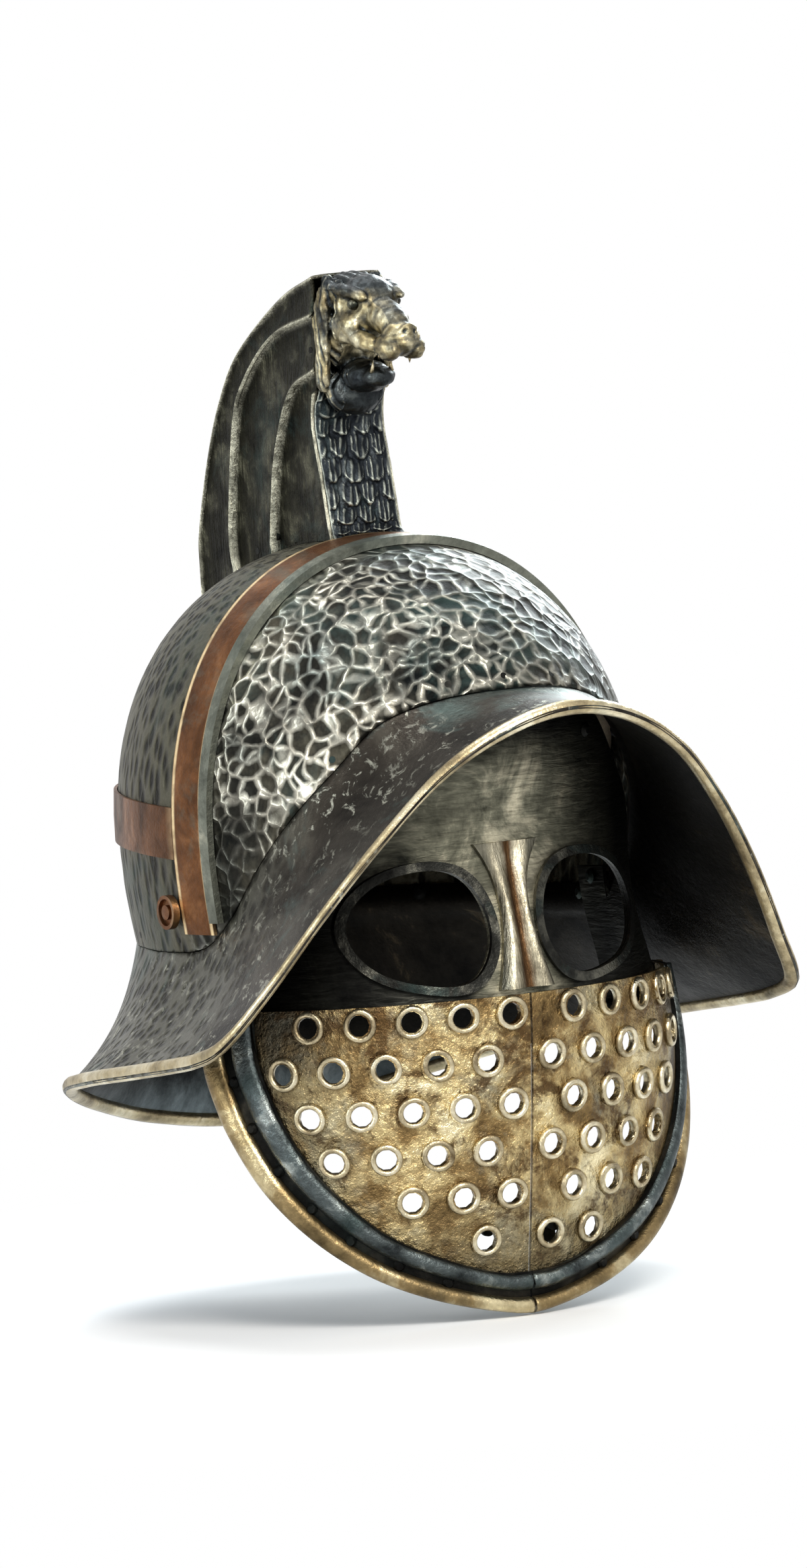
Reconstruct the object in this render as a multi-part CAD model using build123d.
"""Gladiator helmet, full size, made of formed and riveted bronze sheet.

The wearer faces -Y, +X is the wearer's left and +Z is up. The origin is on the
upright axis of the skull cap, level with the foot of the cap at the sides, where
the head holds the helmet. The cap and everything laid on it belong to one family
of surfaces: a profile turned about Z and then squeezed from side to side, so two
pieces that differ in growth never cross. The brim is lofted through upright
sections that turn about the same axis. The eye mask and the two hinged cheek
guards are lofted through plan ellipses about a centre ahead of that axis.
"""

import math
import os

from build123d import *

# Sheet and fits, all lengths in millimetres
cap_wall = 1.6
brim_wall = 1.4
mask_wall = 1.6
guard_wall = 1.6
seat_gap = 0.2
running_gap = 0.3
laid_gap = 0.5
far_reach = 400.0

# Skull cap
cap_width = 200.0
cap_length = 248.0
cap_wall_height = 40.0
cap_dome_rise = 116.0
cap_power = 2.2
cap_tuck_share = 0.03
cap_hole_place_share = 0.972
profile_steps = 8
arch_steps = 6
squeeze = cap_width / cap_length
cap_apex = cap_wall_height + cap_dome_rise

# Brim, with its upright flange inside the cap and its rounded edge binding
brim_reach = 168.0
brim_root_front = 96.0
brim_root_rear = -5.0
brim_edge_front = 90.0
brim_edge_rear = -92.0
brim_flange_height = 9.0
brim_hollow_out_share = 0.30
brim_hollow_down_share = 0.62
binding_radius = 3.1
binding_grip = 2.4
binding_slack = 0.5
brim_section_count = 36
brim_rivet_count = 14
brim_rivet_rise = 5.0
# Azimuth from the front as a share of the half turn, root height as a share of
# the root's fall, reach as a share of the brim's reach, edge height as a share
# of the edge's fall.
brim_station_shares = (
    (0.000, 1.000, 0.982, 1.000),
    (0.055, 0.993, 0.980, 0.968),
    (0.111, 0.960, 0.975, 0.880),
    (0.161, 0.891, 0.973, 0.747),
    (0.211, 0.733, 0.975, 0.593),
    (0.261, 0.574, 0.987, 0.423),
    (0.300, 0.436, 1.000, 0.308),
    (0.333, 0.307, 0.950, 0.272),
    (0.372, 0.158, 0.895, 0.255),
    (0.433, 0.030, 0.842, 0.236),
    (0.528, 0.000, 0.821, 0.209),
    (0.639, 0.000, 0.813, 0.170),
    (0.778, 0.000, 0.795, 0.093),
    (0.889, 0.000, 0.797, 0.033),
    (1.000, 0.000, 0.798, 0.000),
)

# Bands over the cap
band_wall = 1.6
crown_band_centre = -19.0
crown_band_width = 20.0
crown_bead_width = 5.0
crown_bead_height = 3.4
band_foot = 3.0
nape_band_width = 21.0
nape_band_front_height = 39.0
nape_band_rear_height = 50.0
nape_section_count = 7
scroll_radius = 7.0
scroll_height = 3.0
scroll_eye_radius = 3.0
scroll_rise = 12.0

# Crest box
crest_width = 30.0
crest_wall = 1.2
crest_strip_wall = 1.4
crest_reach = 104.6
crest_rise = 110.0
crest_band_wall = 1.3
crest_rim_width = 3.0
crest_foot_width = 10.0
crest_tier_count = 9
crest_tier_depth = 2.6
saddle_length = 15.0
saddle_height = 9.0
bolt_radius = 4.0
bolt_head_radius = 10.0
bolt_head_height = 2.4
# Side view of the crest, as shares of its reach behind the axis and of its rise
# above the cap's apex.
crest_back_shares = (
    (0.975, -0.65),
    (0.998, -0.30),
    (1.000, -0.10),
    (0.985, 0.027),
    (0.880, 0.291),
    (0.755, 0.509),
    (0.574, 0.700),
    (0.216, 0.891),
    (-0.040, 0.972),
)
crest_front_shares = (
    (-0.067, -0.060),
    (-0.052, 0.060),
    (-0.019, 0.236),
    (0.019, 0.418),
    (0.000, 0.540),
)
crest_outer_ridge_shares = (
    (0.700, -0.40),
    (0.727, 0.020),
    (0.640, 0.427),
    (0.535, 0.591),
    (0.296, 0.755),
    (-0.020, 0.830),
)
crest_inner_ridge_shares = (
    (0.400, -0.20),
    (0.400, 0.014),
    (0.329, 0.305),
    (0.182, 0.545),
    (-0.010, 0.625),
)

# Cast beast head at the crest's tip
head_half_width = 15.0
head_start = -5.0
head_length = 59.0
head_top = 266.0
head_depth = 50.0
head_tenon_length = 12.0
head_tenon_height = 30.0
ear_radius = 5.5
ear_length = 9.0
brow_radius = 6.5
nostril_radius = 3.6
# Along the head, its half width, its lowest and its highest line, all as shares
head_section_shares = (
    (0.00, 1.00, 0.94, 0.05),
    (0.20, 1.04, 0.86, 0.00),
    (0.42, 1.00, 0.74, 0.00),
    (0.62, 0.90, 0.70, 0.07),
    (0.76, 0.74, 0.74, 0.24),
    (0.90, 0.66, 0.80, 0.34),
    (1.00, 0.36, 0.72, 0.46),
)
jaw_section_shares = (
    (0.00, 0.90, 1.02, 0.66),
    (0.35, 0.80, 1.00, 0.72),
    (0.60, 0.66, 0.96, 0.80),
    (0.78, 0.40, 0.93, 0.84),
)

# Eye mask
visor_centre = -30.0
plan_steps = 8
mask_half_width = 91.0
mask_border_half_width = 97.2
mask_front = 110.0
mask_foot = -28.5
mask_lobe_foot = -50.0
mask_top = 112.0
mask_rear = -12.0
mask_top_gap = 3.0
mask_ear_front = -27.5
mask_ear_top = 13.0
mask_lobe_front = -34.0
mask_lobe_slope = 2.0
mask_station_shares = (
    (0.00, 1.000, 0.992),
    (0.14, 0.950, 1.000),
    (0.23, 0.400, 0.980),
    (0.31, 0.000, 0.957),
    (0.47, 0.000, 0.914),
    (0.68, 0.000, 0.918),
    (0.87, 0.000, 0.960),
    (1.00, 0.000, 0.985),
)
eye_rim_width = 3.6
eye_rim_height = 2.0
eye_centre_side = 40.0
eye_centre_height = 2.0
eye_half_width = 27.0
eye_half_height = 23.0
eye_outline_shares = (
    (-0.96, -0.45),
    (-0.98, 0.25),
    (-0.66, 0.85),
    (0.02, 1.00),
    (0.66, 0.72),
    (0.98, 0.05),
    (0.74, -0.62),
    (0.10, -0.96),
    (-0.66, -0.92),
)
nose_top = 34.0
nose_foot = -24.5
nose_width = 26.0
nose_height = 5.6
nose_section_shares = (
    (0.00, 1.15, 0.25),
    (0.25, 0.62, 0.55),
    (0.65, 0.58, 0.80),
    (1.00, 0.95, 1.00),
)
bracket_width = 12.0
bracket_wall = 1.4
bracket_leg = 15.0
bracket_azimuths = (-26.0, 0.0, 26.0)

# Cheek guards
seam_gap = 1.0
guard_top = -27.0
guard_foot = -157.0
guard_front = 113.0
guard_tuck = 19.5
guard_tuck_power = 1.35
guard_half_width = 101.8
guard_flare = 25.0
guard_taper = 40.0
guard_rear = -32.0
frame_wall = 1.8
bead_height = 3.6
strip_height = 3.0
bead_share = 0.32
strip_share = 0.30
groove_share = 0.51
# The guard's outline and the frame's inner edge, looked at from halfway between
# the front and the side: distance across the view from the axis, and height, as
# shares of the guard's height.
outline_shares = (
    (-0.800, 1.000),
    (-0.540, 1.000),
    (-0.440, 0.986),
    (-0.260, 0.925),
    (-0.090, 0.838),
    (0.070, 0.712),
    (0.205, 0.560),
    (0.300, 0.400),
    (0.345, 0.300),
    (0.388, 0.160),
    (0.392, -0.030),
)
inner_edge_shares = (
    (-0.800, 0.872),
    (-0.540, 0.872),
    (-0.455, 0.866),
    (-0.320, 0.810),
    (-0.170, 0.725),
    (-0.055, 0.620),
    (0.050, 0.490),
    (0.130, 0.350),
    (0.165, 0.265),
    (0.205, 0.140),
    (0.215, -0.030),
)
hole_radius = 4.5
eyelet_radius = 6.7
eyelet_height = 1.5
eyelet_sides = 10
hole_pitch = 21.0
hole_row_pitch = 18.3
hole_first_row = -34.0
hole_row_count = 7
hole_near_start = 9.0
hole_far_start = 20.0
guard_rivet_count = 7
guard_rivet_start_share = 0.30
guard_rivet_span_share = 0.55

# Hinges between the mask and the guards
hinge_side = 101.6
hinge_back = -28.4
hinge_top = -28.0
hinge_height = 22.0
knuckle_radius = 3.2
pin_radius = 1.5
pin_play = 0.06
pin_head_radius = 2.6
pin_head_height = 1.4
leaf_wall = 1.5
leaf_length = 15.0
guard_swing = 25.0

# Chin latch
latch_height = -122.0
latch_reach = 13.0
latch_plane = -90.0
latch_bar = 8.0
latch_wall = 1.6
post_radius = 1.8
post_head_radius = 3.4
stud_radius = 1.6

# Rivets
rivet_radius = 1.5
rivet_head_radius = 3.0
rivet_head_height = 1.3
groove_head_radius = 2.4

# Lining
liner_growth = -6.5
liner_wall = 6.0
sweatband_wall = 2.0
sweatband_height = 28.0
liner_brow_height = 108.0
liner_side_height = 34.0
liner_rear_height = 14.0


def reach_share(height, growth=0.0):
    """Share of its full reach that the cap has at a height."""
    over = (height - cap_wall_height) / (cap_dome_rise + growth)
    if over <= 0:
        return 1 - cap_tuck_share * (over * cap_dome_rise / cap_wall_height) ** 2
    return (1 - min(over, 1) ** cap_power) ** (1 / cap_power)


def cap_reach(azimuth, height, growth=0.0):
    """Distance in plan from the axis to the cap's family of surfaces."""
    full = (cap_length / 2 + growth) * reach_share(height, growth)
    return full / math.hypot(math.cos(azimuth), math.sin(azimuth) / squeeze)


def polar(azimuth, distance, height):
    """A point by its azimuth from the front, towards the wearer's left."""
    return Vector(distance * math.sin(azimuth), -distance * math.cos(azimuth), height)


def profile_share(height, growth=0.0):
    """Place on the cap's profile: -1 at height zero, 0 at the wall's top, 1 at the apex."""
    over = height - cap_wall_height
    if over <= 0:
        return over / cap_wall_height
    part = min(over / (cap_dome_rise + growth), 1)
    return math.asin(part ** (cap_power / 2)) / (math.pi / 2)


def profile_point(place, growth=0.0):
    """Full reach and height at a place on the profile."""
    if place <= 0:
        height = cap_wall_height * (1 + place)
        return (cap_length / 2 + growth) * reach_share(height, growth), height
    turn = place * math.pi / 2
    across = math.cos(turn) ** (2 / cap_power)
    up = math.sin(turn) ** (2 / cap_power)
    return (cap_length / 2 + growth) * across, cap_wall_height + (cap_dome_rise + growth) * up


def cap_profile(azimuth, foot, growth):
    """The profile in one upright section, from a foot height to the apex hole."""
    start = profile_share(foot, growth)
    spread = math.hypot(math.cos(azimuth), math.sin(azimuth) / squeeze)
    points = []
    for k in range(profile_steps + 1):
        place = start + (cap_hole_place_share - start) * k / profile_steps
        full, height = profile_point(place, growth)
        points.append(polar(azimuth, full / spread, height))
    return Spline(*points)


def dome_section(azimuth, foot, inner, outer):
    """A closed upright section of a domed skin between two growths."""
    one = cap_profile(azimuth, foot, outer)
    two = cap_profile(azimuth, foot, inner)
    return Wire([one, Line(one @ 1, two @ 1), two, Line(two @ 0, one @ 0)])


def cap_height(side, back, growth=0.0):
    """Height of the cap's family of surfaces over a point of the plan."""
    share = math.hypot(side / squeeze, back) / (cap_length / 2 + growth)
    rise = (1 - min(share, 1) ** cap_power) ** (1 / cap_power)
    return cap_wall_height + (cap_dome_rise + growth) * rise


def arch_points(back, foot, growth):
    """Points of the cap's crosswise arch at a distance behind the axis."""
    top = math.acos(min(abs(back) / (cap_length / 2 + growth), 1) ** (cap_power / 2)) / (math.pi / 2)
    start = profile_share(foot, growth)
    half = []
    for k in range(arch_steps + 1):
        place = top - (top - start) * (1 - k / arch_steps) ** 2
        full, height = profile_point(place, growth)
        side = squeeze * math.sqrt(max(full**2 - back**2, 0))
        half.append((side, height))
    left = [(side, back, height) for side, height in half]
    right = [(-side, back, height) for side, height in reversed(half[:-1])]
    return left + right


def arch_band(front, rear, foot, inner, outer):
    """A band that arches over the cap from side to side."""
    wires = []
    for k in range(3):
        back = front + (rear - front) * k / 2
        one = Spline(*arch_points(back, foot, outer))
        two = Spline(*arch_points(back, foot, inner))
        wires.append(Wire([one, Line(one @ 1, two @ 1), two, Line(two @ 0, one @ 0)]))
    return Solid.make_loft(wires)


def block(low, high):
    """A box given by two opposite corners."""
    size = [b - a for a, b in zip(low, high)]
    return Pos(*low) * Box(*size, align=(Align.MIN, Align.MIN, Align.MIN))


def side_prism(points, low_x, high_x):
    """A closed outline in the side view, pulled through from side to side."""
    wire = Wire.make_polygon([(low_x, y, z) for y, z in points], close=True)
    return Solid.extrude(Face(wire), Vector(high_x - low_x, 0, 0))


def inset(points, distance):
    """Points moved square to their line, to its left."""
    moved = []
    last = len(points) - 1
    for i, (a, b) in enumerate(points):
        before = points[max(i - 1, 0)]
        after = points[min(i + 1, last)]
        along = (after[0] - before[0], after[1] - before[1])
        length = math.hypot(*along)
        moved.append((a - distance * along[1] / length, b + distance * along[0] / length))
    return moved


def mirrored(shape):
    """The same piece for the wearer's other side."""
    return shape.mirror(Plane.YZ)


def both_sides(shape):
    """The piece and its mirror image as two solids of one node."""
    return Compound(children=[shape, mirrored(shape)])


def write(name, shape):
    """Write one sub-part."""
    shape.label = name
    export_step(shape, f"parts/{name}.step")


# The brim's stations turned into sizes


def brim_stations():
    """Azimuth, root height, reach and edge height from front to rear."""
    stations = []
    for turn, root, reach, edge in brim_station_shares:
        root_height = brim_root_rear + root * (brim_root_front - brim_root_rear)
        edge_height = brim_edge_rear + edge * (brim_edge_front - brim_edge_rear)
        stations.append((turn * math.pi, root_height, reach * brim_reach, edge_height))
    return stations


def station_at(azimuth):
    """A smooth cubic reading of the brim's stations at any azimuth."""
    table = brim_stations()
    last = len(table) - 1
    turn = abs((azimuth + math.pi) % (2 * math.pi) - math.pi)
    first = 0
    while first < last - 1 and table[first + 1][0] < turn:
        first += 1

    def row(k):
        if k < 0:
            return (-table[-k][0],) + table[-k][1:]
        if k > last:
            return (2 * math.pi - table[2 * last - k][0],) + table[2 * last - k][1:]
        return table[k]

    before, left, right, after = [row(first + k) for k in (-1, 0, 1, 2)]
    step = right[0] - left[0]
    t = (turn - left[0]) / step
    values = [azimuth]
    for c in (1, 2, 3):
        rise_left = (right[c] - before[c]) / (right[0] - before[0]) * step
        rise_right = (after[c] - left[c]) / (after[0] - left[0]) * step
        value = (2 * t**3 - 3 * t**2 + 1) * left[c] + (t**3 - 2 * t**2 + t) * rise_left
        value += (3 * t**2 - 2 * t**3) * right[c] + (t**3 - t**2) * rise_right
        values.append(value)
    return tuple(values)


def around(build):
    """Loft a section through evenly turned stations into one ring, closed at the rear."""
    turn = 2 * math.pi / brim_section_count
    wires = [build(*station_at(turn * k - math.pi)) for k in range(brim_section_count)]
    wires.append(wires[0])
    return Solid.make_loft(wires)


def flange_inside(azimuth, height):
    """Distance from the axis to the inner face of the brim's flange."""
    return cap_reach(azimuth, height, -cap_wall - running_gap) - brim_wall


def brim_curve_points(azimuth, root, reach, edge):
    """Root, hollow and edge of the brim's upper line in one upright section."""
    start = Vector(cap_reach(azimuth, root), root - laid_gap)
    end = Vector(reach, edge)
    out = start.X + brim_hollow_out_share * (end.X - start.X)
    down = start.Y + brim_hollow_down_share * (end.Y - start.Y)
    return start, Vector(out, down), end


def edge_frame(azimuth, root, reach, edge):
    """The brim's direction and normal at its edge, in its upright section."""
    start, hollow, end = brim_curve_points(azimuth, root, reach, edge)
    along = (end - hollow).normalized()
    return end, along, Vector(-along.Y, along.X)


def brim_section(azimuth, root, reach, edge):
    """One upright section of the brim and its flange."""
    start, hollow, end = brim_curve_points(azimuth, root, reach, edge)
    edge_point, along, normal = edge_frame(azimuth, root, reach, edge)
    tip = end + along * (binding_grip - binding_radius)
    sink = normal * brim_wall
    thick = Vector(brim_wall, 0)

    def seat(height):
        return Vector(flange_inside(azimuth, height), height)

    flange_top = seat(root + brim_flange_height) + thick
    flange_foot = seat(root - laid_gap) + thick
    under_start = seat(root - laid_gap - brim_wall)

    def place(flat):
        return polar(azimuth, flat.X, flat.Y)

    corners = [flange_top, flange_foot, start]
    edges = [Line(place(a), place(b)) for a, b in zip(corners, corners[1:])]
    edges.append(Bezier(place(start), place(hollow), place(tip)))
    edges.append(Line(place(tip), place(tip - sink)))
    edges.append(Bezier(place(tip - sink), place(hollow - sink), place(under_start)))
    edges.append(Line(place(under_start), place(flange_top - thick)))
    edges.append(Line(place(flange_top - thick), place(flange_top)))
    return Wire(edges)


def binding_section(azimuth, root, reach, edge):
    """One section of the rounded binding, slit for the brim's edge."""
    end, along, normal = edge_frame(azimuth, root, reach, edge)
    centre = end - normal * (brim_wall / 2) - along * binding_radius
    half_slot = brim_wall / 2 + binding_slack
    mouth = math.sqrt(binding_radius**2 - half_slot**2)
    depth = binding_grip + binding_slack

    def place(along_step, normal_step):
        flat = centre + along * along_step + normal * normal_step
        return polar(azimuth, flat.X, flat.Y)

    upper = place(-mouth, half_slot)
    lower = place(-mouth, -half_slot)
    upper_end = place(depth, half_slot)
    lower_end = place(depth, -half_slot)
    nose = place(binding_radius, 0)
    return Wire(
        [
            ThreePointArc(upper, nose, lower),
            Line(lower, lower_end),
            Line(lower_end, upper_end),
            Line(upper_end, upper),
        ]
    )


def cap_section(azimuth, root, reach, edge):
    """One upright section of the skull cap."""
    return dome_section(azimuth, root, -cap_wall, 0)


def make_cap():
    """The skull cap, drilled for the brim's rivets."""
    return around(cap_section).cut(*rivet_holes())


def face_plane(reach, azimuth, height):
    """A plane square to a face that is given by its distance from the axis."""
    step = rivet_radius / cap_length
    here = polar(azimuth, reach(azimuth, height), height)
    across = polar(azimuth + step, reach(azimuth + step, height), height) - here
    up = polar(azimuth, reach(azimuth, height + rivet_radius), height + rivet_radius) - here
    return Plane(here, x_dir=across, z_dir=across.cross(up))


def rivet_planes():
    """Planes of the rivets through the cap and the brim's flange."""
    turn = 2 * math.pi / brim_rivet_count
    middles = [turn * (k + 0.5) for k in range(brim_rivet_count)]
    return [face_plane(cap_reach, a, station_at(a)[1] + brim_rivet_rise) for a in middles]


def rivet_holes():
    """The drill holes for the brim's rivets."""
    return [drill(plane, -brim_flange_height, brim_flange_height) for plane in rivet_planes()]


def make_brim_rivets():
    """Rivets set flush outside, with a low head inside the flange."""
    grip = cap_wall + brim_wall + 3 * running_gap
    return Compound(children=[set_rivet(plane, -grip, 0, True) for plane in rivet_planes()])


def make_brim():
    """The brim with its flange drilled for the rivets."""
    return around(brim_section).cut(*rivet_holes())


# Bands


def make_crown_band():
    """The strap that crosses the cap from side to side."""
    front = crown_band_centre - crown_band_width / 2
    rear = crown_band_centre + crown_band_width / 2
    return arch_band(front, rear, band_foot, running_gap, running_gap + band_wall)


def make_crown_bead():
    """The raised bead along the strap's front edge."""
    rear = crown_band_centre - crown_band_width / 2 - seat_gap
    foot = band_foot + crown_bead_width
    return arch_band(rear - crown_bead_width, rear, foot, running_gap, running_gap + crown_bead_height)


def make_nape_band():
    """The strap round the back, from one end of the crown band to the other."""
    front = crown_band_centre + crown_band_width / 2 + 2 * seat_gap
    start = math.acos(-front / (cap_width / 2))
    wires = []
    for k in range(nape_section_count + 1):
        azimuth = start + (math.pi - start) * k / nape_section_count
        rearward = (1 - math.cos(azimuth)) / 2
        middle = nape_band_front_height + rearward * (nape_band_rear_height - nape_band_front_height)
        corners = []
        for growth, rise in ((0, -1), (1, -1), (1, 0), (1, 1), (0, 1), (0, 0)):
            height = middle + rise * nape_band_width / 2
            distance = cap_reach(azimuth, height, laid_gap + growth * band_wall)
            corners.append(polar(azimuth, distance, height))
        wires.append(Wire.make_polygon(corners, close=True))
    half = Solid.make_loft(wires)
    return half + mirrored(half)


def make_scrolls():
    """A small rolled disc behind each foot of the crown band."""
    back = crown_band_centre + crown_band_width / 2 + scroll_radius + seat_gap
    azimuth = math.acos(-back / (cap_length / 2))
    seat = cap_width / 2 * math.sin(azimuth) + seat_gap
    on_cap = Plane((seat, back, scroll_rise), z_dir=(1, 0, 0))
    middle = Plane((seat + scroll_height / 2, back, scroll_rise), z_dir=(1, 0, 0))
    upward = (Align.CENTER, Align.CENTER, Align.MIN)
    disc = on_cap * Cylinder(scroll_radius, scroll_height, align=upward)
    groove = middle * Cylinder(scroll_radius - scroll_eye_radius / 2, scroll_height, align=upward)
    eye = middle * Cylinder(scroll_eye_radius, scroll_height, align=upward)
    return both_sides(disc - (groove - eye))


# Crest box


def crest_line(shares, growth=seat_gap):
    """A crest line in the side view, its first point seated on the cap."""
    points = [(y * crest_reach, cap_apex + z * crest_rise) for y, z in shares]
    foot = points[0][0]
    return [(foot, cap_height(0, foot, growth) + seat_gap)] + points[1:]


def on_cap_strip(first, second, low_x, high_x, growth=seat_gap):
    """The area between two crest lines and the cap, pulled from side to side."""
    one = Spline(*[(low_x, y, z) for y, z in first])
    two = Spline(*[(low_x, y, z) for y, z in second])
    start, end = second[0][0], first[0][0]
    foot = []
    for k in range(5):
        back = start + (end - start) * k / 4
        foot.append((low_x, back, cap_height(0, back, growth) + seat_gap))
    wire = Wire([one, Line(one @ 1, two @ 1), two, Spline(*foot)])
    return Solid.extrude(Face(wire), Vector(high_x - low_x, 0, 0))


def make_crest_side():
    """The wearer's left side plate, with its raised front rim."""
    outside = crest_width / 2
    back = crest_line(crest_back_shares)
    front = crest_line(crest_front_shares)
    plate = on_cap_strip(back, front, outside - crest_wall, outside)
    behind = [(y + crest_rim_width, z) for y, z in front]
    behind[0] = (behind[0][0], cap_height(0, behind[0][0], seat_gap) + seat_gap)
    rim = on_cap_strip(behind, front, outside - crest_wall / 2, outside + crest_band_wall)
    return plate + rim


def make_crest_band(edge_shares, ridge_shares, layers):
    """A raised band of the side plate, one or two sheets thick."""
    start = crest_width / 2 + seat_gap / 2
    edge = crest_line(edge_shares)
    ridge = crest_line(ridge_shares)
    return on_cap_strip(edge, ridge, start, start + layers * crest_band_wall)


def make_crest_back():
    """The strip that closes the crest along its back and top."""
    inside = crest_width / 2 - crest_wall - seat_gap
    back = crest_line(crest_back_shares)
    front = inset(back, crest_strip_wall)
    front[0] = (front[0][0], cap_height(0, front[0][0], seat_gap) + seat_gap)
    return on_cap_strip(back, front, -inside, inside)


def make_crest_front():
    """The strip that closes the crest's front, with its tiers of locks."""
    inside = crest_width / 2 - crest_wall - seat_gap
    growth = seat_gap + band_wall + seat_gap
    front = Spline(*[(0, y, z) for y, z in crest_line(crest_front_shares, growth)])
    outline = []
    for step in range(crest_tier_count + 1):
        here = front @ (step / crest_tier_count)
        if step:
            outline.append((here.Y, here.Z))
        if step < crest_tier_count:
            outline.append((here.Y - crest_tier_depth, here.Z))
    back = [front @ (1 - step / 4) for step in range(5)]
    outline += [(point.Y + crest_strip_wall, point.Z) for point in back]
    return side_prism(outline, -inside, inside)


def crest_foot_line():
    """Distances behind the axis along the feet of the crest box."""
    start = crest_reach * 0.14
    end = crest_reach * 0.80
    return [start + (end - start) * k / 4 for k in range(5)]


def make_crest_feet():
    """Angle strips inside the box, which carry the side plates on the cap."""
    outside = crest_width / 2 - crest_wall - seat_gap
    heel = outside - crest_strip_wall
    toe = outside - crest_foot_width
    wires = []
    for back in crest_foot_line():
        seat = [cap_height(side, back, seat_gap) + laid_gap for side in (toe, heel, outside)]
        corners = [
            (outside, seat[2]),
            (outside, seat[2] + crest_foot_width),
            (heel, seat[2] + crest_foot_width),
            (heel, seat[1] + crest_strip_wall),
            (toe, seat[0] + crest_strip_wall),
            (toe, seat[0]),
        ]
        wires.append(Wire.make_polygon([(x, back, z) for x, z in corners], close=True))
    foot = Solid.make_loft(wires)
    return both_sides(foot)


# Beast head


def head_loft(section_shares):
    """A head form through upright rounded sections along the head."""
    wires = []
    for along, wide, low, high in section_shares:
        y = head_start - along * head_length
        bottom = head_top - low * head_depth
        top = head_top - high * head_depth
        plane = Plane((0, y, (bottom + top) / 2), x_dir=(1, 0, 0), z_dir=(0, -1, 0))
        wires.append(plane * Wire(Ellipse(wide * head_half_width, (top - bottom) / 2).edges()))
    return Solid.make_loft(wires)


def make_head():
    """The beast head: skull and muzzle, lower jaw, ears, brows and tenon."""
    head = head_loft(head_section_shares) + head_loft(jaw_section_shares)
    ear_y = head_start - head_length * 0.16
    brow_y = head_start - head_length * 0.66
    for side in (-1, 1):
        ear_foot = Plane(
            (side * head_half_width * 0.62, ear_y, head_top - ear_length * 0.45),
            z_dir=(side * 0.55, 0.25, 1),
        )
        head += ear_foot * Cone(ear_radius, ear_radius / 3, ear_length)
        brow = (side * head_half_width * 0.46, brow_y, head_top - head_depth * 0.20)
        head += Pos(*brow) * Sphere(brow_radius)
        nose = (side * nostril_radius, head_start - head_length * 0.96, head_top - head_depth * 0.56)
        head += Pos(*nose) * Sphere(nostril_radius)
    inside = crest_width / 2 - crest_wall - seat_gap - crest_strip_wall
    middle = head_top - head_depth / 2
    low = (-inside, head_start - head_length * 0.1, middle - head_tenon_height / 2)
    high = (inside, head_start + head_tenon_length, middle + head_tenon_height / 2)
    return head + block(low, high)


# Visor surfaces


def mask_size(height):
    """Half width and front reach of the mask at a height."""
    depth = (mask_top - height) / (mask_top - mask_lobe_foot)
    share = 1 - depth
    table = mask_station_shares
    i = 0
    while i < len(table) - 2 and table[i + 1][0] < share:
        i += 1
    low, high = table[i], table[i + 1]
    part = (share - low[0]) / (high[0] - low[0])
    wide = low[1] + part * (high[1] - low[1])
    front = low[2] + part * (high[2] - low[2])
    half = mask_half_width + wide * (mask_border_half_width - mask_half_width)
    return half, front * mask_front


def guard_size(height):
    """Half width and front reach of a guard's plate at a height."""
    fall = (guard_top - height) / (guard_top - guard_foot)
    half = guard_half_width + guard_flare * fall - guard_taper * fall * abs(fall)
    front = guard_front - guard_tuck * abs(fall) ** guard_tuck_power * math.copysign(1, fall)
    return half, front


def plan_point(size, growth, turn, height):
    """A point of a visor surface, by its turn from the front."""
    half = size[0] + growth
    deep = size[1] + visor_centre + growth
    return Vector(half * math.sin(turn), visor_centre - deep * math.cos(turn), height)


def plan_section(size, inner, outer, start, end, height):
    """A horizontal slice of a visor skin between two growths and two turns."""

    def arc(growth):
        turns = [start + (end - start) * k / plan_steps for k in range(plan_steps + 1)]
        return Spline(*[plan_point(size, growth, turn, height) for turn in turns])

    outer_arc = arc(outer)
    inner_arc = arc(inner)
    ends = [Line(outer_arc @ 1, inner_arc @ 1), Line(inner_arc @ 0, outer_arc @ 0)]
    return Wire([outer_arc, ends[0], inner_arc, ends[1]])


def mask_skin(inner, outer, half_turn=None):
    """The mask's skin between two growths."""
    wires = []
    for share, wide, front in mask_station_shares:
        height = mask_lobe_foot + share * (mask_top - mask_lobe_foot)
        size = mask_size(height)
        deep = size[1] + visor_centre
        turn = half_turn or math.acos((visor_centre - mask_rear) / deep)
        wires.append(plan_section(size, inner, outer, -turn, turn, height))
    return Solid.make_loft(wires)


def guard_skin(inner, outer, foot=guard_foot, top=guard_top, rear=guard_rear):
    """The left guard's skin between two growths, from the seam to its rear."""
    wires = []
    count = 7
    for step in range(count):
        height = foot + (top - foot) * step / (count - 1)
        size = guard_size(height)
        start = math.asin(seam_gap / 2 / (size[0] + inner))
        deep = size[1] + visor_centre
        end = math.acos((visor_centre - rear) / deep)
        wires.append(plan_section(size, inner, outer, start, end, height))
    return Solid.make_loft(wires)


# Eye mask


def front_prism(points, behind):
    """A closed spline outline in the front view, pulled forward from behind."""
    outline = Spline(*[(x, behind, z) for x, z in points], periodic=True)
    return Solid.extrude(Face(Wire([outline])), Vector(0, -far_reach, 0))


def eye_outline(grow):
    """The left eye opening in the front view, grown by a margin."""
    points = []
    for side, rise in eye_outline_shares:
        x = eye_centre_side + side * (eye_half_width + grow)
        points.append((x, eye_centre_height + rise * (eye_half_height + grow)))
    return points


def ear_boxes():
    """Boxes round the two ears that rise inside the cap."""
    low = (cap_width / 4, mask_ear_front, mask_foot)
    high = (cap_width, mask_rear + mask_wall, mask_ear_top)
    return [(low, high), ((-high[0], low[1], low[2]), (-low[0], high[1], high[2]))]


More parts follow.
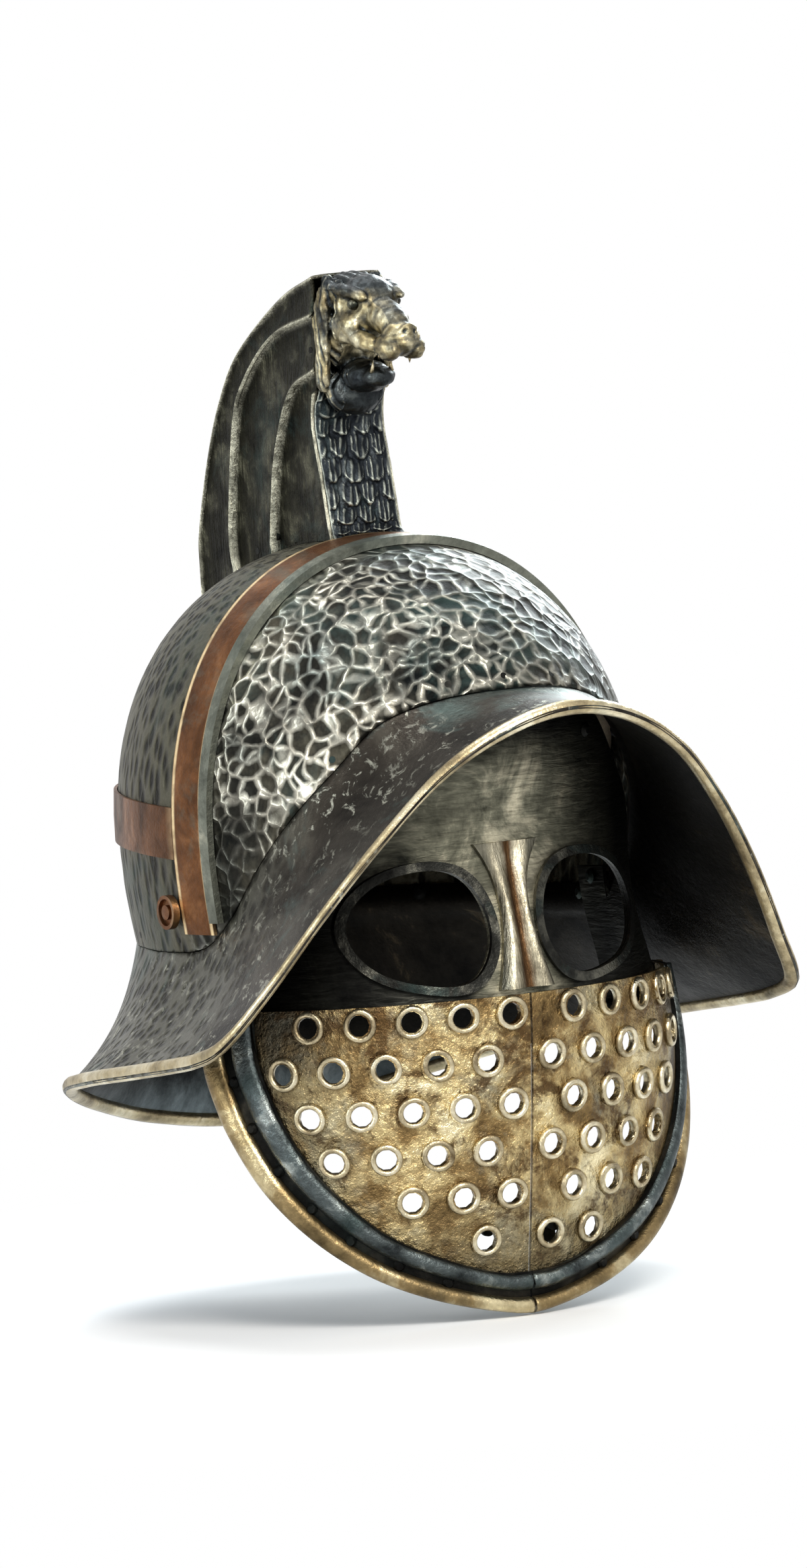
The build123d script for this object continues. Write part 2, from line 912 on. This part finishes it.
def mask_trim():
    """What the mask keeps in the side view: all but the space under its lower edge."""
    outline = [
        (mask_rear + mask_wall, mask_lobe_foot - mask_wall),
        (mask_lobe_front, mask_lobe_foot - mask_wall),
        (mask_lobe_front - mask_lobe_slope, mask_foot),
        (-far_reach, mask_foot),
        (-far_reach, far_reach),
        (mask_rear + mask_wall, far_reach),
    ]
    return side_prism(outline, -far_reach, far_reach)


def above_root(azimuth, root, reach, edge):
    """One section of all that lies over the mask's upper edge and the brim's underside."""
    start, hollow, end = brim_curve_points(azimuth, root, reach, edge)
    low = root - mask_top_gap
    corners = [
        (cap_width / 4, low),
        (flange_inside(azimuth, root) - laid_gap, low),
        (hollow.X - brim_wall, hollow.Y - 2 * brim_wall),
        (end.X, end.Y - 2 * brim_wall),
        (end.X, cap_apex),
        (cap_width / 4, cap_apex),
    ]
    return Wire.make_polygon([polar(azimuth, *corner) for corner in corners], close=True)


def make_mask():
    """The eye mask: a face plate with two eye openings and hinge lobes."""
    under = mask_skin(-mask_wall, 0) - around(above_root)
    ears = [block(low, high) for low, high in ear_boxes()]
    mask = under.fuse(*[mask_skin(-mask_wall, 0) & ear for ear in ears]) & mask_trim()
    openings = [front_prism(eye_outline(0), 0), front_prism([(-x, z) for x, z in eye_outline(0)], 0)]
    return mask.cut(*openings)


def make_eye_rim():
    """The raised rim round the left eye opening."""
    skin = mask_skin(seat_gap, seat_gap + eye_rim_height)
    ring = front_prism(eye_outline(eye_rim_width), 0) - front_prism(eye_outline(0), 0)
    return skin & ring


def make_nose_guard():
    """Two upright ridges with a groove between them, wider at brow and foot."""
    wires = []
    for along, wide, tall in nose_section_shares:
        height = nose_top + along * (nose_foot - nose_top)
        half = wide * nose_width / 2
        rise = tall * nose_height
        front = mask_size(height)[1] + running_gap
        deep = front - nose_height
        heel = [(-half, deep), (half, deep)]
        lip = rise * 0.3
        crest = [
            (half, front + lip),
            (half / 2, front + rise),
            (0, front + rise / 2),
            (-half / 2, front + rise),
            (-half, front + lip),
        ]
        heel = [Vector(x, -y, height) for x, y in heel]
        curve = Spline(*[Vector(x, -y, height) for x, y in crest])
        wires.append(Wire([Line(*heel), Line(heel[1], curve @ 0), curve, Line(curve @ 1, heel[0])]))
    return Solid.make_loft(wires) - mask_skin(-1.5 * nose_height, running_gap)


def bracket_section(azimuth):
    """One upright section of a bracket, mask end first."""
    root = station_at(azimuth)[1]
    bend = root - mask_top_gap
    foot = bend - bracket_leg
    top = root + brim_flange_height
    slack = mask_wall + laid_gap
    low_back = radial_mask_reach(azimuth, foot) - slack
    mask_back = radial_mask_reach(azimuth, bend) - slack
    knee = min(mask_back, flange_inside(azimuth, root) - brim_wall)
    line = [
        (low_back, foot),
        (knee, bend),
        (flange_inside(azimuth, root) - running_gap, root + running_gap),
        (flange_inside(azimuth, top) - running_gap, top),
    ]
    back = [(s - bracket_wall, z) for s, z in reversed(line)]
    return Wire.make_polygon([polar(azimuth, s, z) for s, z in line + back], close=True)


def make_brackets():
    """Bent straps inside, which hang the mask's brow from the brim's flange."""
    straps = []
    for degrees in bracket_azimuths:
        middle = math.radians(degrees)
        half = bracket_width / cap_length
        straps.append(Solid.make_loft([bracket_section(middle + part * half) for part in (-1, 0, 1)]))
    return Compound(children=straps)


def radial_mask_reach(azimuth, height):
    """Distance in plan from the cap's axis to the mask's outer face."""
    half, front = mask_size(height)
    deep = front + visor_centre
    low, high = 0.0, cap_length
    for _ in range(40):
        middle = (low + high) / 2
        x = middle * math.sin(azimuth) / half
        y = (-middle * math.cos(azimuth) - visor_centre) / deep
        if x * x + y * y < 1:
            low = middle
        else:
            high = middle
    return low


# Cheek guards, all made for the wearer's left


def diagonal(points_shares):
    """Outline points in the view from between front and side, as sizes."""
    fall = guard_top - guard_foot
    return [(w * fall, guard_top - z * fall) for w, z in points_shares]


def diagonal_plane():
    """The plane of that view, looking back along its normal."""
    return Plane((0, 0, 0), x_dir=(1, 1, 0), z_dir=(1, -1, 0))


def between(part):
    """A line between the guard's outline and the frame's inner edge."""
    outer = diagonal(outline_shares)
    inner = diagonal(inner_edge_shares)
    return [(a + part * (c - a), b + part * (d - b)) for (a, b), (c, d) in zip(outer, inner)]


def diagonal_prism(first, second):
    """The area between two lines of that view, pulled out through the guard."""
    plane = diagonal_plane()
    one = Spline(*[plane.from_local_coords((w, z, 0)) for w, z in first])
    two = Spline(*[plane.from_local_coords((w, z, 0)) for w, z in second])
    wire = Wire([one, Line(one @ 1, two @ 1), two, Line(two @ 0, one @ 0)])
    return Solid.extrude(Face(wire), plane.z_dir * far_reach)


def guard_area():
    """Everything inside the guard's outline."""
    outline = diagonal(outline_shares)
    centre = diagonal(inner_edge_shares)[-1]
    start, end = outline[0], outline[-1]
    plane = diagonal_plane()
    curve = Spline(*[plane.from_local_coords((w, z, 0)) for w, z in outline])
    corners = [(end[0], end[1]), (start[0], end[1]), (start[0], start[1])]
    corners = [plane.from_local_coords((w, z, 0)) for w, z in corners]
    wire = Wire([curve, Line(curve @ 1, corners[1]), Line(corners[1], curve @ 0)])
    return Solid.extrude(Face(wire), plane.z_dir * far_reach)


def guard_place(distance, height):
    """A plane on the guard's outer face, by arc length from the seam."""
    size = guard_size(height)
    turn = 0.0
    walked = 0.0
    step = math.radians(0.5)
    while walked < distance:
        here = plan_point(size, 0, turn, height)
        there = plan_point(size, 0, turn + step, height)
        walked += (there - here).length
        turn += step
    here = plan_point(size, 0, turn, height)
    across = plan_point(size, 0, turn + step, height) - here
    higher = guard_size(height + hole_radius)
    up = plan_point(higher, 0, turn, height + hole_radius) - here
    normal = across.cross(up)
    return Plane(here, x_dir=across, z_dir=normal)


def in_frame(point):
    """How far a point of the guard's face lies inside the frame's inner edge."""
    plane = diagonal_plane()
    local = plane.to_local_coords(point)
    edge = diagonal(inner_edge_shares)
    nearest = far_reach
    for (a, b), (c, d) in zip(edge, edge[1:]):
        length = math.hypot(c - a, d - b)
        part = ((local.X - a) * (c - a) + (local.Y - b) * (d - b)) / length**2
        part = min(max(part, 0), 1)
        gap = math.hypot(local.X - a - part * (c - a), local.Y - b - part * (d - b))
        if gap < nearest:
            side = (c - a) * (local.Y - b) - (d - b) * (local.X - a)
            nearest = gap
            sign = math.copysign(1, side)
    return nearest * sign


def hole_places(first_is_near):
    """Planes of the breath holes, in staggered rows."""
    places = []
    for row in range(hole_row_count):
        height = hole_first_row - row * hole_row_pitch
        near = (row % 2 == 0) == first_is_near
        distance = hole_near_start if near else hole_far_start
        while True:
            plane = guard_place(distance, height)
            if in_frame(plane.origin) < hole_radius:
                break
            places.append(plane)
            distance += hole_pitch
    return places


def ring_prism(plane, radius, low, high):
    """A many-sided prism that stands on a plane."""
    base = plane.offset(low)
    wire = base * Wire(RegularPolygon(radius, eyelet_sides).edges())
    return Solid.extrude(Face(wire), plane.z_dir * (high - low))


def make_guard_plate(first_is_near):
    """The guard's plate, pierced by holes with raised eyelets."""
    plate = guard_skin(-guard_wall, 0) & guard_area()
    places = hole_places(first_is_near)
    rings = [ring_prism(p, eyelet_radius, -guard_wall / 2, eyelet_height) for p in places]
    plate = plate.fuse(*rings)
    holes = [ring_prism(p, hole_radius, -guard_wall - eyelet_height, 2 * eyelet_height) for p in places]
    plate = plate.cut(*holes)
    return plate.cut(*frame_rivet_holes())


def make_frame_part(start, end, low, high):
    """A moulding of the frame between two lines, standing on the plate."""
    skin = guard_skin(low, high)
    return skin & diagonal_prism(between(start), between(end))


def frame_rivet_places():
    """Planes of the rivets through the frame's groove."""
    line = between(groove_share)
    plane = diagonal_plane()
    curve = Spline(*[plane.from_local_coords((w, z, 0)) for w, z in line])
    places = []
    for k in range(guard_rivet_count):
        point = curve @ (guard_rivet_start_share + guard_rivet_span_share * k / (guard_rivet_count - 1))
        local = plane.to_local_coords(point)
        distance = hole_near_start / 2
        while plane.to_local_coords(guard_place(distance, point.Z).origin).X < local.X:
            distance += rivet_radius
        places.append(guard_place(distance, point.Z))
    return places


def frame_rivet_holes():
    """Drill holes for those rivets."""
    holes = []
    for plane in frame_rivet_places():
        base = plane.offset(-guard_wall * 2)
        holes.append(base * Cylinder(rivet_radius, guard_wall * 6, align=(Align.CENTER,) * 2 + (Align.MIN,)))
    return holes


def make_guard_rivets():
    """Rivets that hold the frame on the plate."""
    rivets = []
    for plane in frame_rivet_places():
        seat = seat_gap + frame_wall + running_gap
        upward = (Align.CENTER, Align.CENTER, Align.MIN)
        shank = plane.offset(-guard_wall) * Cylinder(rivet_radius - pin_play, seat + guard_wall, align=upward)
        head = plane.offset(seat) * Cone(groove_head_radius, rivet_radius, rivet_head_height, align=upward)
        rivets.append(shank + head)
    return Compound(children=rivets)


# Hinges, made for the wearer's left


def knuckle_spans():
    """Heights of the three knuckles, the outer two on the guard's leaf."""
    length = (hinge_height - 2 * running_gap) / 3
    spans = []
    for k in range(3):
        top = hinge_top - k * (length + running_gap)
        spans.append((top - length, top))
    return spans


def knuckle(low, high):
    """One knuckle, bored for the pin."""
    upward = (Align.CENTER, Align.CENTER, Align.MIN)
    body = Cylinder(knuckle_radius, high - low, align=upward)
    bore = Cylinder(pin_radius + pin_play, high - low, align=upward)
    return Pos(hinge_side, hinge_back, low) * (body - bore)


def make_fixed_leaf():
    """The leaf on the mask's lobe, with the middle knuckle."""
    low, high = knuckle_spans()[1]
    foot = hinge_top - hinge_height
    skin = mask_skin(seat_gap, seat_gap + leaf_wall)
    rear = mask_rear - leaf_wall
    leaf = skin & block((0, hinge_back, foot), (far_reach, rear, hinge_top))
    bore = Pos(hinge_side, hinge_back, foot) * Cylinder(knuckle_radius + running_gap, far_reach)
    leaf = leaf - bore
    web = block((hinge_side - knuckle_radius, hinge_back, low), (hinge_side, hinge_back + knuckle_radius, high))
    hole = Pos(hinge_side, hinge_back, low) * Cylinder(pin_radius + pin_play, far_reach)
    return leaf + knuckle(low, high) + (web - hole)


def make_guard_leaf():
    """The leaf inside the guard, with the two outer knuckles."""
    foot = hinge_top - hinge_height
    inner = -guard_wall - seat_gap - leaf_wall
    skin = guard_skin(inner, inner + leaf_wall, rear=hinge_back)
    leaf_end = hinge_back - pin_radius
    leaf = skin & block((0, guard_rear - leaf_length, foot), (far_reach, leaf_end, hinge_top))
    bore = Pos(hinge_side, hinge_back, foot) * Cylinder(pin_radius + pin_play, far_reach)
    room = Pos(hinge_side, hinge_back, hinge_top - hinge_height / 2) * Cylinder(
        knuckle_radius + running_gap, hinge_height / 3 + running_gap
    )
    leaf = leaf - room
    for low, high in (knuckle_spans()[0], knuckle_spans()[2]):
        tongue_low = (hinge_side - 2 * leaf_wall, guard_rear + running_gap, low)
        tongue = block(tongue_low, (hinge_side + leaf_wall / 2, hinge_back, high))
        leaf = leaf + (tongue - bore) + knuckle(low, high)
    return leaf


def make_hinge_pin():
    """The hinge pin with a head at each end."""
    upward = (Align.CENTER, Align.CENTER, Align.MIN)
    low = hinge_top - hinge_height - running_gap
    length = hinge_height + 2 * running_gap
    pin = Pos(hinge_side, hinge_back, low) * Cylinder(pin_radius, length, align=upward)
    for base in (low - pin_head_height, low + length):
        pin = pin + Pos(hinge_side, hinge_back, base) * Cylinder(pin_head_radius, pin_head_height, align=upward)
    return pin


# Rivets through skins


def set_rivet(plane, inner, outer, head_inside):
    """A rivet square to a plane, from its inner to its outer end, with one head."""
    upward = (Align.CENTER, Align.CENTER, Align.MIN)
    shank_radius = rivet_radius - pin_play
    shank = plane.offset(inner) * Cylinder(shank_radius, outer - inner, align=upward)
    if head_inside:
        head = plane.offset(inner - rivet_head_height) * Cone(
            shank_radius, rivet_head_radius, rivet_head_height, align=upward
        )
    else:
        head = plane.offset(outer) * Cone(rivet_head_radius, shank_radius, rivet_head_height, align=upward)
    return shank + head


def drill(plane, inner, outer):
    """The hole for such a rivet."""
    upward = (Align.CENTER, Align.CENTER, Align.MIN)
    return plane.offset(inner) * Cylinder(rivet_radius, outer - inner, align=upward)


def mask_rivet_planes():
    """Planes of the rivets through the mask's brow and the brackets."""
    planes = []
    for degrees in bracket_azimuths:
        azimuth = math.radians(degrees)
        height = station_at(azimuth)[1] - mask_top_gap - bracket_leg * 0.7
        planes.append(face_plane(radial_mask_reach, azimuth, height))
    return planes


def flange_rivet_planes():
    """Planes of the rivets through the cap, the flange and the brackets."""
    planes = []
    for degrees in bracket_azimuths:
        azimuth = math.radians(degrees)
        planes.append(face_plane(cap_reach, azimuth, station_at(azimuth)[1] + brim_rivet_rise))
    return planes


def lobe_rivet_planes():
    """Planes of the rivets through the mask's left lobe and the fixed leaf."""
    height = hinge_top - hinge_height / 2
    planes = []
    for rise in (-hinge_height / 3.2, hinge_height / 3.2):
        back = mask_rear - leaf_length / 3
        half, front = mask_size(height + rise)
        turn = math.acos((visor_centre - back) / (front + visor_centre))
        here = plan_point((half, front), 0, turn, height + rise)
        planes.append(Plane(here, z_dir=(1, 0, 0)))
    return planes


def leaf_rivet_planes():
    """Planes of the rivets through the left guard and its leaf."""
    height = hinge_top - hinge_height / 2
    planes = []
    for rise in (-hinge_height / 3.2, hinge_height / 3.2):
        back = guard_rear - leaf_length * 0.55
        half, front = guard_size(height + rise)
        turn = math.acos((visor_centre - back) / (front + visor_centre))
        here = plan_point((half, front), 0, turn, height + rise)
        planes.append(Plane(here, z_dir=(1, 0, 0)))
    return planes


def ear_rivet_plane():
    """Plane of the rivet through the cap, the flange and the mask's left ear."""
    height = mask_ear_top - rivet_head_radius - rivet_radius
    back = (mask_ear_front + mask_rear) / 2
    across = squeeze * math.sqrt((cap_length / 2 * reach_share(height)) ** 2 - back**2)
    return Plane((across, back, height), z_dir=(1, 0, 0))


def radial_ear_reach():
    """Distance from the middle plane to the ear's outer face at its rivet."""
    plane = ear_rivet_plane().origin
    half, front = mask_size(plane.Z)
    return half * math.sqrt(1 - ((plane.Y - visor_centre) / (front + visor_centre)) ** 2)


# Chin latch


def guard_post(side, radius, end):
    """A post that stands inside a guard and ends at a depth."""
    upward = (Align.CENTER, Align.CENTER, Align.MIN)
    start = -guard_front
    plane = Plane((side, start, latch_height), x_dir=(1, 0, 0), z_dir=(0, 1, 0))
    post = plane * Cylinder(radius, end - start, align=upward)
    skin = guard_skin(-guard_wall - seat_gap, guard_front / 4)
    if side < 0:
        skin = mirrored(skin)
    return post - skin


def make_latch_post():
    """The pivot post of the hook, on the left guard."""
    upward = (Align.CENTER, Align.CENTER, Align.MIN)
    near = latch_plane - latch_wall / 2 - running_gap
    far = latch_plane + latch_wall / 2 + running_gap
    post = guard_post(latch_reach, post_head_radius, near) + guard_post(latch_reach, post_radius, far)
    plane = Plane((latch_reach, far, latch_height), x_dir=(1, 0, 0), z_dir=(0, 1, 0))
    return post + plane * Cylinder(post_head_radius, latch_wall, align=upward)


def make_catch_stud():
    """The stud on the right guard that the hook catches."""
    upward = (Align.CENTER, Align.CENTER, Align.MIN)
    far = latch_plane + latch_wall / 2 + running_gap
    post = guard_post(-latch_reach, stud_radius, far)
    plane = Plane((-latch_reach, far, latch_height), x_dir=(1, 0, 0), z_dir=(0, 1, 0))
    return post + plane * Cylinder(post_head_radius, latch_wall, align=upward)


def make_latch_hook():
    """The swinging hook, hanging, with its notch on the side that leads."""
    length = 2 * latch_reach
    near = latch_plane - latch_wall / 2
    half = latch_bar / 2
    plane = Plane((latch_reach, near, latch_height), x_dir=(1, 0, 0), z_dir=(0, 1, 0))
    middle = plane * Pos(0, length / 2, 0)
    upward = (Align.CENTER, Align.CENTER, Align.MIN)
    bar = middle * Box(latch_bar, length, latch_wall, align=upward)
    eye = plane * Cylinder(half, latch_wall, align=upward)
    tip = plane * Pos(0, length, 0) * Cylinder(half + stud_radius / 2, latch_wall, align=upward)
    hook = bar + eye + tip
    hook = hook - plane * Cylinder(post_radius + pin_play, latch_wall, align=upward)
    notch = stud_radius + running_gap
    hook = hook - plane * Pos(0, length, 0) * Cylinder(notch, latch_wall, align=upward)
    mouth = plane * Pos(-latch_bar, length, 0) * Box(2 * latch_bar, 2 * notch, latch_wall, align=upward)
    return hook - mouth


# Crest fixings


def crest_saddle_box():
    """Low and high corners of the bridge between the side plates."""
    inside = crest_width / 2 - crest_wall - seat_gap
    low = (-inside, -saddle_length * 0.2, cap_apex + running_gap)
    high = (inside, saddle_length * 0.8, cap_apex + running_gap + saddle_height)
    return low, high


def cross_pin_places():
    """Side-view places of the pins right through both side plates."""
    low, high = crest_saddle_box()
    middle = head_top - head_depth / 2
    tenon = head_start + head_tenon_length * 0.6
    rise = head_tenon_height / 4
    return [((low[1] + high[1]) / 2, (low[2] + high[2]) / 2), (tenon, middle - rise), (tenon, middle + rise)]


def foot_rivet_places():
    """Side-view places of the rivets through the side plates and their feet."""
    outside = crest_width / 2 - crest_wall - seat_gap
    rows = crest_foot_line()
    backs = [(a + b) / 2 for a, b in zip(rows, rows[1:])][1:]
    return [(back, cap_height(outside, back, seat_gap) + crest_foot_width * 0.62) for back in backs]


def cross_bar(place, radius, low_x, high_x):
    """A round bar that lies from side to side."""
    plane = Plane((low_x, place[0], place[1]), z_dir=(1, 0, 0))
    return plane * Cylinder(radius, high_x - low_x, align=(Align.CENTER, Align.CENTER, Align.MIN))


def cross_holes(places):
    """Holes from side to side at some places."""
    return [cross_bar(place, rivet_radius, -crest_width, crest_width) for place in places]


def make_saddle():
    """The bridge that the crest bolt pulls down on."""
    low, high = crest_saddle_box()
    bolt = Pos(0, 0, low[2] - running_gap) * Cylinder(
        bolt_radius + pin_play, 2 * saddle_height, align=(Align.CENTER, Align.CENTER, Align.MIN)
    )
    return block(low, high).cut(bolt, *cross_holes(cross_pin_places()[:1]))


def make_crest_bolt():
    """The bolt that draws the crest down through the cap's apex hole."""
    upward = (Align.CENTER, Align.CENTER, Align.MIN)
    low, high = crest_saddle_box()
    seat = cap_height(0, bolt_head_radius, -cap_wall) - seat_gap
    head = Pos(0, 0, seat - bolt_head_height) * Cylinder(bolt_head_radius, bolt_head_height, align=upward)
    top = (low[2] + high[2]) / 2 - 2 * rivet_radius
    shank = Pos(0, 0, seat - bolt_head_height / 2) * Cylinder(
        bolt_radius, top - seat + bolt_head_height / 2, align=upward
    )
    return head + shank


def make_cross_pins():
    """Pins right through both side plates, flush at each end."""
    outside = crest_width / 2
    radius = rivet_radius - pin_play
    return Compound(children=[cross_bar(p, radius, -outside, outside) for p in cross_pin_places()])


def make_foot_rivets():
    """Rivets through the side plates and their feet, flush outside."""
    outside = crest_width / 2
    heel = outside - crest_wall - seat_gap - crest_strip_wall - seat_gap
    rivets = []
    for place in foot_rivet_places():
        shank = cross_bar(place, rivet_radius - pin_play, heel - rivet_head_height / 2, outside)
        head = cross_bar(place, rivet_head_radius, heel - rivet_head_height, heel)
        rivet = shank + head
        rivets += [rivet, mirrored(rivet)]
    return Compound(children=rivets)


# Lining


def liner_foot(azimuth):
    """Height of the lining's lower edge, high at the brow and low at the nape."""
    middle = (liner_brow_height + liner_rear_height) / 2
    swing = (liner_brow_height - liner_rear_height) / 2
    dip = (middle - liner_side_height) / 2
    return middle - dip + swing * math.cos(azimuth) + dip * math.cos(2 * azimuth)


def liner_section(azimuth, root, reach, edge):
    """One upright section of the felt lining."""
    return dome_section(azimuth, liner_foot(azimuth), liner_growth - liner_wall, liner_growth)


def sweatband_section(azimuth, root, reach, edge):
    """One upright section of the leather band inside the lining."""
    outer = liner_growth - liner_wall - running_gap
    foot = liner_foot(azimuth) + sweatband_wall
    points = []
    for growth, height in ((outer, foot), (outer, foot + sweatband_height / 2), (outer, foot + sweatband_height)):
        points.append(polar(azimuth, cap_reach(azimuth, height, growth), height))
    thick = [polar(azimuth, -sweatband_wall, 0) + point for point in reversed(points)]
    return Wire.make_polygon(points + thick, close=True)


# Assembly


def build():
    """Make every sub-part and write it."""
    os.makedirs("parts", exist_ok=True)
    brackets = make_brackets()
    mask_planes = mask_rivet_planes()
    flange_planes = flange_rivet_planes()
    lobe_planes = lobe_rivet_planes()
    ear_plane = ear_rivet_plane()
    mask_grip = mask_wall + 2 * laid_gap + bracket_wall
    flange_grip = cap_wall + brim_wall + bracket_wall + 4 * running_gap
    ear_grip = ear_plane.origin.X - radial_ear_reach() + mask_wall + 5 * running_gap
    flange_drills = [drill(p, -2 * brim_flange_height, brim_flange_height) for p in flange_planes]
    ear_drill = drill(ear_plane, -2 * brim_flange_height, brim_flange_height)
    ear_drills = [ear_drill, mirrored(ear_drill)]
    lobe_drills = [drill(p, -2 * mask_wall, 2 * leaf_wall) for p in lobe_planes]
    mask_drills = [drill(p, -brim_flange_height, brim_flange_height / 2) for p in mask_planes]

    write("skull_cap", make_cap().cut(*flange_drills, *ear_drills))
    write("brim", make_brim().cut(*flange_drills, *ear_drills))
    write("brim_binding", around(binding_section))
    write("brim_rivets", make_brim_rivets())

    write("crown_band", make_crown_band())
    write("crown_bead", make_crown_bead())
    write("nape_band", make_nape_band())
    write("band_scrolls", make_scrolls())

    side = make_crest_side()
    pins = cross_holes(cross_pin_places())
    foot_holes = cross_holes(foot_rivet_places())
    outer_band = make_crest_band(crest_back_shares, crest_outer_ridge_shares, 2)
    inner_band = make_crest_band(crest_outer_ridge_shares, crest_inner_ridge_shares, 1)
    left_side = side.cut(*pins, *foot_holes)
    for name, shape in (
        ("crest_side", left_side),
        ("crest_outer_band", outer_band),
        ("crest_inner_band", inner_band),
    ):
        write(name + "_left", shape)
        write(name + "_right", mirrored(shape))
    write("crest_back", make_crest_back())
    write("crest_front", make_crest_front())
    write("crest_feet", make_crest_feet().cut(*foot_holes))
    write("crest_saddle", make_saddle())
    write("crest_bolt", make_crest_bolt())
    write("crest_head", make_head().cut(*pins[1:]))
    write("crest_pins", make_cross_pins())
    write("crest_rivets", make_foot_rivets())

    mask = make_mask().cut(*mask_drills, *ear_drills, *lobe_drills, *[mirrored(d) for d in lobe_drills])
    write("eye_mask", mask)
    rim = make_eye_rim()
    write("eye_rim_left", rim)
    write("eye_rim_right", mirrored(rim))
    write("nose_guard", make_nose_guard())
    write("mask_brackets", brackets.cut(*mask_drills, *flange_drills))
    mask_rivets = [set_rivet(p, -mask_grip, running_gap, False) for p in mask_planes]
    mask_rivets += [set_rivet(p, -flange_grip, 0, True) for p in flange_planes]
    ear_rivet = set_rivet(ear_plane, -ear_grip, -running_gap, True)
    write("mask_rivets", Compound(children=mask_rivets + [ear_rivet, mirrored(ear_rivet)]))

    write("felt_lining", around(liner_section))
    write("sweatband", around(sweatband_section))

    fixed_leaf = make_fixed_leaf().cut(*lobe_drills)
    write("fixed_leaf_left", fixed_leaf)
    write("fixed_leaf_right", mirrored(fixed_leaf))
    lobe_rivets = [set_rivet(p, -mask_wall - laid_gap, leaf_wall + seat_gap, True) for p in lobe_planes]
    write("fixed_leaf_rivets", Compound(children=lobe_rivets + [mirrored(r) for r in lobe_rivets]))
    pin = make_hinge_pin()
    write("hinge_pin_left", pin)
    write("hinge_pin_right", mirrored(pin))

    leaf_planes = leaf_rivet_planes()
    leaf_drills = [drill(p, -guard_wall - leaf_wall * 3, guard_wall) for p in leaf_planes]
    leaf_grip = guard_wall + leaf_wall + 3 * running_gap
    leaf_rivets = [set_rivet(p, -leaf_grip, -running_gap, True) for p in leaf_planes]
    groove = make_frame_part(0, 1, seat_gap, seat_gap + frame_wall).cut(*frame_rivet_holes())
    seat = 2 * seat_gap + frame_wall
    bead = make_frame_part(0, bead_share, seat, seat + bead_height)
    strip = make_frame_part(1 - strip_share, 1, seat, seat + strip_height)
    moving_leaf = make_guard_leaf().cut(*leaf_drills)
    for suffix, plate, turn in (
        ("left", make_guard_plate(False), lambda shape: shape),
        ("right", mirrored(make_guard_plate(True)), mirrored),
    ):
        drills = [turn(d) for d in leaf_drills]
        write("guard_plate_" + suffix, plate.cut(*drills))
        write("guard_frame_" + suffix, turn(groove))
        write("guard_bead_" + suffix, turn(bead))
        write("guard_strip_" + suffix, turn(strip))
        write("guard_leaf_" + suffix, turn(moving_leaf))
        rivets = make_guard_rivets()
        solids = list(rivets.solids()) + leaf_rivets
        write("guard_rivets_" + suffix, Compound(children=[turn(s) for s in solids]))
    write("latch_post", make_latch_post())
    write("latch_hook", make_latch_hook())
    write("catch_stud", make_catch_stud())


build()
